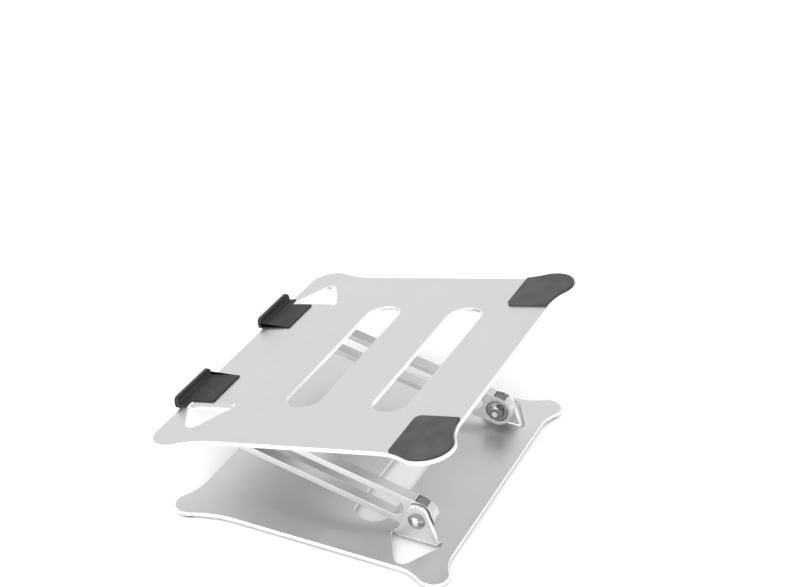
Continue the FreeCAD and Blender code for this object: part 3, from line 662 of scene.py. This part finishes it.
def rounded_ring_tree():
    """Flat ring with rounded edges, at its two stations on a hinge axis."""
    if "rounded_ring" in bpy.data.node_groups:
        return bpy.data.node_groups["rounded_ring"]
    tree, given, made = geometry_tree("rounded_ring", [
        ("Hole Radius", "NodeSocketFloat", 3.2 * MM), ("Outer Radius", "NodeSocketFloat", 8.0 * MM),
        ("Inner Face", "NodeSocketFloat", 74.4 * MM), ("Outer Face", "NodeSocketFloat", 75.4 * MM),
        ("Rounding", "NodeSocketFloat", 0.18 * MM), ("Sides", "NodeSocketInt", 96),
        ("Axis", "NodeSocketVector", (0.0, 0.0, 0.0)), ("Finish", "NodeSocketMaterial", None)])

    def middle_of(first, second):
        return math_node(tree, "MULTIPLY", math_node(tree, "ADD", first, second), 0.5)

    hole, outer = given.outputs["Hole Radius"], given.outputs["Outer Radius"]
    near, far = given.outputs["Inner Face"], given.outputs["Outer Face"]
    section = tree.nodes.new("GeometryNodeCurvePrimitiveQuadrilateral")
    soften = tree.nodes.new("GeometryNodeFilletCurve")
    soften.mode = "POLY"
    soften.inputs["Count"].default_value = 3
    round_path = tree.nodes.new("GeometryNodeCurvePrimitiveCircle")
    sweep = tree.nodes.new("GeometryNodeCurveToMesh")
    upright = tree.nodes.new("GeometryNodeTransform")
    upright.inputs["Rotation"].default_value = (0.0, math.pi / 2, 0.0)
    middle = tree.nodes.new("ShaderNodeCombineXYZ")
    pair = tree.nodes.new("GeometryNodeGroup")
    pair.node_tree = hinge_pair_tree()
    wire(tree, (math_node(tree, "SUBTRACT", outer, hole), section.inputs["Width"]),
         (math_node(tree, "SUBTRACT", far, near), section.inputs["Height"]),
         (section.outputs[0], soften.inputs["Curve"]), (given.outputs["Rounding"], soften.inputs["Radius"]),
         (middle_of(outer, hole), round_path.inputs["Radius"]),
         (given.outputs["Sides"], round_path.inputs["Resolution"]),
         (round_path.outputs["Curve"], sweep.inputs["Curve"]), (soften.outputs["Curve"], sweep.inputs["Profile Curve"]),
         (sweep.outputs["Mesh"], upright.inputs["Geometry"]), (middle_of(near, far), middle.inputs["X"]),
         (middle.outputs[0], upright.inputs["Translation"]), (upright.outputs[0], pair.inputs["Piece"]),
         (given.outputs["Axis"], pair.inputs["Axis"]), (given.outputs["Finish"], pair.inputs["Finish"]),
         (pair.outputs[0], made.inputs[0]))
    return tree


def four_corners_tree():
    """A piece drawn about the origin's Z axis, put at the four corners of a rectangle."""
    if "four_corners" in bpy.data.node_groups:
        return bpy.data.node_groups["four_corners"]
    tree, given, made = geometry_tree("four_corners", [
        ("Piece", "NodeSocketGeometry", None), ("Across", "NodeSocketFloat", 0.2), ("Along", "NodeSocketFloat", 0.18),
        ("Middle", "NodeSocketVector", (0.0, 0.0, 0.0)), ("Finish", "NodeSocketMaterial", None)])
    corners = tree.nodes.new("GeometryNodeMeshGrid")
    corners.inputs["Vertices X"].default_value = 2
    corners.inputs["Vertices Y"].default_value = 2
    shift = tree.nodes.new("GeometryNodeTransform")
    wire(tree, (given.outputs["Across"], corners.inputs["Size X"]), (given.outputs["Along"], corners.inputs["Size Y"]),
         (corners.outputs["Mesh"], shift.inputs["Geometry"]), (given.outputs["Middle"], shift.inputs["Translation"]))
    place_and_finish(tree, given, made, shift.outputs[0])
    return tree


def grown(name, mesh, tree, values):
    """Run a geometry tree over a mesh and hand back the plain result, closed and facing outwards."""
    shape = bpy.data.objects.new(name, mesh)
    bpy.context.scene.collection.objects.link(shape)
    modifier = shape.modifiers.new(tree.name, "NODES")
    modifier.node_group = tree
    for item in tree.interface.items_tree:
        if item.in_out == "INPUT" and item.name in values:
            modifier[item.identifier] = values[item.name]
    result = plain_mesh(shape, name)
    form = bmesh.new()
    form.from_mesh(result)
    bmesh.ops.remove_doubles(form, verts=form.verts, dist=MERGE)
    bmesh.ops.recalc_face_normals(form, faces=form.faces)
    form.to_mesh(result)
    form.free()
    smooth_mesh(result)
    return result


def hinge_rings(body, kind, finish, rounding, hole=None):
    """Both rings of one kind on a body's hinge axis, as one piece."""
    node = f"{body}_{kind}"
    inner, outer = span_x(f"{node}_right")
    axis = hinge_axis(body)
    values = {"Hole Radius": hole, "Outer Radius": half_height(f"{node}_right"), "Inner Face": inner,
              "Outer Face": outer, "Rounding": rounding, "Axis": axis, "Finish": finish}
    mesh = grown(f"{node}_rings", bpy.data.meshes.new(node), rounded_ring_tree(), values)
    return new_piece(f"{node}_pair", mesh, body, [f"{node}_{side}" for side in SIDES])


def hinge_turned(body, kind, form, finish):
    """Both turned pieces of one kind on a body's hinge axis, as one piece."""
    node = f"{body}_{kind}"
    mesh = grown(f"{node}_turned", form_to_mesh(form, node), hinge_pair_tree(),
                 {"Axis": hinge_axis(body), "Finish": finish})
    return new_piece(f"{node}_pair", mesh, body, [f"{node}_{side}" for side in SIDES])


def stud_radius():
    """Radius of the bolts' shanks, which fill the bushes."""
    return half_height("arm_bush_rear_right") - stand().metal.bush_wall


def folded_sheet(body):
    """A body's plate, with bright cut faces and edges, and rounded folds at its two hinge ears."""
    metal = stand().metal
    name = f"{body}_plate_sheet"
    mesh, form = merged_copy(f"{body}_plate")
    mark_cut_faces(form, metal.sheet)
    mesh = break_edges(name, mesh, form, metal.edge_break, [satin_aluminium(), machined_edge()],
                       fold_x=span_x(f"{body}_ear_washer_right")[1], fold_radius=metal.fold_radius)
    new_piece(name, mesh, body, [f"{body}_plate"])


def edged_pieces(kind, word, body, width, finish, segments=3):
    """The left and the right piece of one kind, with their edges rounded."""
    for side in SIDES:
        name = f"{kind}_{side}_{word}"
        mesh, form = merged_copy(f"{kind}_{side}")
        mesh = break_edges(name, mesh, form, width, [finish], segments)
        new_piece(name, mesh, body, [f"{kind}_{side}"])


# ---------------------------------------------------------------- operators, one for each piece or group
class LAPTOP_STAND_OT_base_plate(bpy.types.Operator):
    """Base plate: folded sheet with two hinge ears, a cross slot and bright broken edges"""

    bl_idname = "laptop_stand.base_plate"
    bl_label = "Base plate"

    def execute(self, context):
        folded_sheet("base")
        return {"FINISHED"}


class LAPTOP_STAND_OT_top_plate(bpy.types.Operator):
    """Top plate: folded sheet with two hooks, two hinge ears and two vents"""

    bl_idname = "laptop_stand.top_plate"
    bl_label = "Top plate"

    def execute(self, context):
        folded_sheet("top")
        return {"FINISHED"}


class LAPTOP_STAND_OT_arms(bpy.types.Operator):
    """Pair of flat arms with rounded ends, a long slot each and wells for the nuts"""

    bl_idname = "laptop_stand.arms"
    bl_label = "Arms"

    def execute(self, context):
        edged_pieces("arm", "bar", "arms", stand().metal.arm_edge, satin_aluminium())
        return {"FINISHED"}


class LAPTOP_STAND_OT_bolts(bpy.types.Operator):
    """Domed hinge bolts with a thin flange and a chamfered stud end"""

    bl_idname = "laptop_stand.bolts"
    bl_label = "Hinge bolts"

    def execute(self, context):
        metal = stand().metal
        for body in HINGE_BODIES:
            end, crown = span_x(f"{body}_bolt_right")
            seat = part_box(f"{body}_ear_washer_right")[1].x + metal.sheet
            head = half_height(f"{body}_bolt_right")
            shank = stud_radius()
            rim = seat + metal.flange
            brow = metal.brow * head
            rise = crown - rim
            dome = 0.5 * (brow ** 2 + rise ** 2) / rise
            half_angle = math.asin(brow / dome)
            turns = [half_angle * (1 - step / DOME_STEPS) for step in range(DOME_STEPS)]
            arc = [Vector((crown - dome + dome * math.cos(turn), dome * math.sin(turn))) for turn in turns]
            stud = filleted([(end, 0.0), (end, shank - metal.stud_chamfer), (end + metal.stud_chamfer, shank),
                             (seat, shank)], 0.12 * MM)
            flange = filleted([(seat, shank), (seat, head), (rim, head), (rim, brow)], metal.flange_round)
            profile = stud[:-1] + flange[:-1] + arc + [Vector((crown, 0.0))]
            form = turned_form(profile, closed=False)
            hinge_turned(body, "bolt", form, bolt_steel(body))
        return {"FINISHED"}


class LAPTOP_STAND_OT_washers(bpy.types.Operator):
    """Nylon friction washers against the ear and in the arm's well, and the steel washer under the nut"""

    bl_idname = "laptop_stand.washers"
    bl_label = "Washers"

    def execute(self, context):
        rounding = stand().metal.washer_round
        hole = stud_radius() + HOLE_PLAY
        for body in HINGE_BODIES:
            hinge_rings(body, "ear_washer", bearing_nylon(body), rounding, hole)
            hinge_rings(body, "well_washer", bearing_nylon(body), rounding, hole)
            hinge_rings(body, "flat_washer", bright_steel(body), rounding, hole)
        return {"FINISHED"}


class LAPTOP_STAND_OT_disc_springs(bpy.types.Operator):
    """Coned disc springs that hold the hinges stiff"""

    bl_idname = "laptop_stand.disc_springs"
    bl_label = "Disc springs"

    def execute(self, context):
        hole = stud_radius() + HOLE_PLAY
        for body in HINGE_BODIES:
            inner, outer = span_x(f"{body}_disc_spring_right")
            radius = half_height(f"{body}_disc_spring_right")
            cone = (outer - inner) / 3
            corners = [(outer, radius), (inner + cone, radius), (inner, hole), (outer - cone, hole)]
            ring = filleted(corners + corners[:2], 0.15 * MM)[1:-1]
            form = turned_form(ring, closed=True)
            hinge_turned(body, "disc_spring", form, bright_steel(body))
        return {"FINISHED"}


class LAPTOP_STAND_OT_lock_nuts(bpy.types.Operator):
    """Hexagon lock nuts with turned-away corners, a crimped collar and a nylon ring"""

    bl_idname = "laptop_stand.lock_nuts"
    bl_label = "Lock nuts"

    def execute(self, context):
        metal = stand().metal
        for body in HINGE_BODIES:
            far, seat = span_x(f"{body}_lock_nut_right")
            recess = span_x(f"{body}_nut_insert_right")[1]
            flats = half_height("base_lock_nut_right")
            insert = half_height(f"{body}_nut_insert_right")
            collar = insert + 0.8 * MM
            shank = stud_radius()
            face = flats - 0.25 * MM

            def hexagon(along, out, angle):
                """Cut a row's radius to the hexagon, and slide the chamfer's foot back at the corners."""
                if out < 2 * flats:
                    return along, out
                corner = flats / math.cos((angle + math.pi / 6) % (math.pi / 3) - math.pi / 6)
                slide = (corner - face) * math.tan(math.radians(30)) * (metal.nut_chamfer / (0.45 * MM))
                return (along - slide if along > 0.5 * (seat + recess) else along + slide), corner

            turned = 9 * flats
            collar_end = filleted([(recess, collar), (far, collar), (far, insert), (recess, insert)], 0.35 * MM)
            profile = ([Vector((seat, shank + 0.4 * MM)), Vector((seat, face)), Vector((seat, turned)),
                        Vector((recess, turned)), Vector((recess, face))] + collar_end
                       + [Vector((recess, shank)), Vector((seat - 0.4 * MM, shank))])
            form = turned_form(profile, closed=True, sides=96, reach=hexagon)
            hinge_turned(body, "lock_nut", form, bright_steel(body))
            hinge_rings(body, "nut_insert", bearing_nylon(body), 0.2 * MM, shank)
        return {"FINISHED"}


class LAPTOP_STAND_OT_bushes(bpy.types.Operator):
    """Bronze bushes in both ends of each arm"""

    bl_idname = "laptop_stand.bushes"
    bl_label = "Bushes"

    def execute(self, context):
        hole = stud_radius() + BUSH_PLAY
        for end, body in (("rear", "base"), ("front", "top")):
            node = f"arm_bush_{end}"
            inner, outer = span_x(f"{node}_right")
            values = {"Hole Radius": hole, "Outer Radius": half_height(f"{node}_right"),
                      "Inner Face": inner + BUSH_END_PLAY, "Outer Face": outer - BUSH_END_PLAY,
                      "Rounding": stand().metal.bush_round, "Axis": hinge_axis(body), "Finish": bearing_bronze()}
            mesh = grown(f"{node}_rings", bpy.data.meshes.new(node), rounded_ring_tree(), values)
            new_piece(f"{node}_pair", mesh, "arms", [f"{node}_{side}" for side in SIDES])
        return {"FINISHED"}


class LAPTOP_STAND_OT_feet(bpy.types.Operator):
    """Rubber feet with a rounded lower edge and a shallow dish"""

    bl_idname = "laptop_stand.feet"
    bl_label = "Feet"

    def execute(self, context):
        rubber = stand().rubber
        low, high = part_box("foot_front_left")
        rear_low, rear_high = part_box("foot_rear_right")
        first, last = 0.5 * (low + high), 0.5 * (rear_low + rear_high)
        radius, height = 0.5 * (high.x - low.x), high.z - low.z
        dish = rubber.foot_dish
        floor_of_dish, rim_of_dish = 0.5 * radius, 0.72 * radius
        corners = [(dish, 0.0), (dish, floor_of_dish), (0.0, rim_of_dish), (0.0, radius), (height, radius),
                   (height, 0.0)]
        form = turned_form(filleted(corners, rubber.foot_round), closed=False, sides=64)
        bmesh.ops.rotate(form, verts=form.verts, matrix=Matrix.Rotation(-math.pi / 2, 3, "Y"))
        bmesh.ops.recalc_face_normals(form, faces=form.faces)
        middle = Vector((0.0, 0.5 * (first.y + last.y), low.z))
        mesh = grown("foot_set", form_to_mesh(form, "foot"), four_corners_tree(),
                     {"Across": last.x - first.x, "Along": last.y - first.y, "Middle": middle, "Finish": pad_rubber()})
        nodes = [f"foot_{end}_{side}" for end in ("front", "rear") for side in SIDES]
        new_piece("foot_set", mesh, "base", nodes)
        return {"FINISHED"}


class LAPTOP_STAND_OT_hook_pads(bpy.types.Operator):
    """Rubber liners of the two front hooks"""

    bl_idname = "laptop_stand.hook_pads"
    bl_label = "Hook pads"

    def execute(self, context):
        edged_pieces("hook_pad", "liner", "top", stand().rubber.pad_round, hook_rubber())
        return {"FINISHED"}


class LAPTOP_STAND_OT_rear_pads(bpy.types.Operator):
    """Rubber sheets on the rear lobes of the top plate"""

    bl_idname = "laptop_stand.rear_pads"
    bl_label = "Rear pads"

    def execute(self, context):
        edged_pieces("rear_pad", "sheet", "top", stand().rubber.sheet_round, pad_rubber())
        return {"FINISHED"}


class LAPTOP_STAND_OT_bumpers(bpy.types.Operator):
    """Rubber blocks let into the arms above the rear hinges"""

    bl_idname = "laptop_stand.bumpers"
    bl_label = "Arm bumpers"

    def execute(self, context):
        edged_pieces("arm_bumper", "block", "arms", stand().rubber.bumper_round, bumper_rubber(), 4)
        return {"FINISHED"}


class LAPTOP_STAND_OT_stage(bpy.types.Operator):
    """Pale floor, soft lights and the camera"""

    bl_idname = "laptop_stand.stage"
    bl_label = "Stage"

    def execute(self, context):
        studio = stand().studio
        scene = context.scene
        scene.view_settings.view_transform = "Standard"
        self.floor(scene, studio)
        self.room(scene, studio)
        self.camera(scene, studio)
        for setting, lamp in LAMPS.items():
            self.softbox(scene, getattr(studio, setting), *lamp)
        return {"FINISHED"}

    def floor(self, scene, studio):
        mesh = bpy.data.meshes.new("floor")
        form = bmesh.new()
        bmesh.ops.create_grid(form, x_segments=8, y_segments=8, size=0.5 * studio.floor_side)
        form.to_mesh(mesh)
        form.free()
        material, tree, shader = blank_material("floor_finish", {"Roughness": 0.9, "Specular IOR Level": 0.1})
        grain = place_group(tree, "fine_grain", {"Colour": studio.floor, "Grains per metre": 400.0,
                                                 "Unevenness": 0.004, "Patches per metre": 2.0})
        tree.links.new(grain.outputs["Colour"], shader.inputs["Base Color"])
        mesh.materials.append(material)
        floor = bpy.data.objects.new("floor", mesh)
        scene.collection.objects.link(floor)

    def room(self, scene, studio):
        world = bpy.data.worlds.new("studio_room")
        scene.world = world
        world.use_nodes = True
        background = world.node_tree.nodes["Background"]
        background.inputs["Color"].default_value = (1.0, 1.0, 1.0, 1.0)
        background.inputs["Strength"].default_value = studio.sky

    def softbox(self, scene, watts, name, place, wide, tall, mirrored):
        """Rectangular lamp turned to the stand; the metal shows its reflection only when it is mirrored."""
        light = bpy.data.lights.new(name, "AREA")
        light.shape, light.size, light.size_y, light.energy = "RECTANGLE", wide, tall, watts
        box = bpy.data.objects.new(name, light)
        box.location = place
        box.rotation_euler = (Vector(LAMP_AIM) - Vector(place)).to_track_quat("-Z", "Y").to_euler()
        box.visible_camera = False
        box.visible_glossy = mirrored
        scene.collection.objects.link(box)

    def camera(self, scene, studio):
        back = Vector((math.sin(studio.azimuth) * math.cos(studio.elevation),
                       -math.cos(studio.azimuth) * math.cos(studio.elevation), math.sin(studio.elevation)))
        camera = bpy.data.objects.new("camera", bpy.data.cameras.new("camera"))
        scene.collection.objects.link(camera)
        turn = (-back).to_track_quat("-Z", "Y").to_matrix().to_4x4() @ Matrix.Rotation(studio.roll, 4, "Z")
        camera.matrix_world = Matrix.Translation(Vector(studio.aim) + back * studio.distance) @ turn
        camera.data.lens = studio.lens
        camera.data.sensor_width = 36.0
        scene.camera = camera


PIECES = (
    LAPTOP_STAND_OT_base_plate, LAPTOP_STAND_OT_top_plate, LAPTOP_STAND_OT_arms, LAPTOP_STAND_OT_bolts,
    LAPTOP_STAND_OT_washers, LAPTOP_STAND_OT_disc_springs, LAPTOP_STAND_OT_lock_nuts, LAPTOP_STAND_OT_bushes,
    LAPTOP_STAND_OT_feet, LAPTOP_STAND_OT_hook_pads, LAPTOP_STAND_OT_rear_pads, LAPTOP_STAND_OT_bumpers,
    LAPTOP_STAND_OT_stage,
)


class StandSettings(bpy.types.PropertyGroup):
    """All of the stand's settings, kept on the scene."""

    metal: PointerProperty(type=StandMetal)
    rubber: PointerProperty(type=StandRubber)
    studio: PointerProperty(type=StandStudio)


class LAPTOP_STAND_PT_pieces(bpy.types.Panel):
    """Settings of the stand, and a button for each piece"""

    bl_idname = "LAPTOP_STAND_PT_pieces"
    bl_label = "Laptop stand"
    bl_space_type = "VIEW_3D"
    bl_region_type = "UI"
    bl_category = "Stand"

    def draw(self, context):
        settings = context.scene.laptop_stand
        for group in (settings.metal, settings.rubber, settings.studio):
            box = self.layout.box()
            for label in group.__annotations__:
                box.prop(group, label)
        column = self.layout.column(align=True)
        for piece in PIECES:
            column.operator(piece.bl_idname)


CLASSES = (StandMetal, StandRubber, StandStudio, StandSettings, *PIECES, LAPTOP_STAND_PT_pieces)


def register():
    for item in CLASSES:
        bpy.utils.register_class(item)
    bpy.types.Scene.laptop_stand = PointerProperty(type=StandSettings)


def unregister():
    del bpy.types.Scene.laptop_stand
    for item in reversed(CLASSES):
        bpy.utils.unregister_class(item)


def main():
    """Build every piece and the stage."""
    register()
    for piece in PIECES:
        family, action = piece.bl_idname.split(".")
        getattr(getattr(bpy.ops, family), action)()


if __name__ == "__main__":
    main()
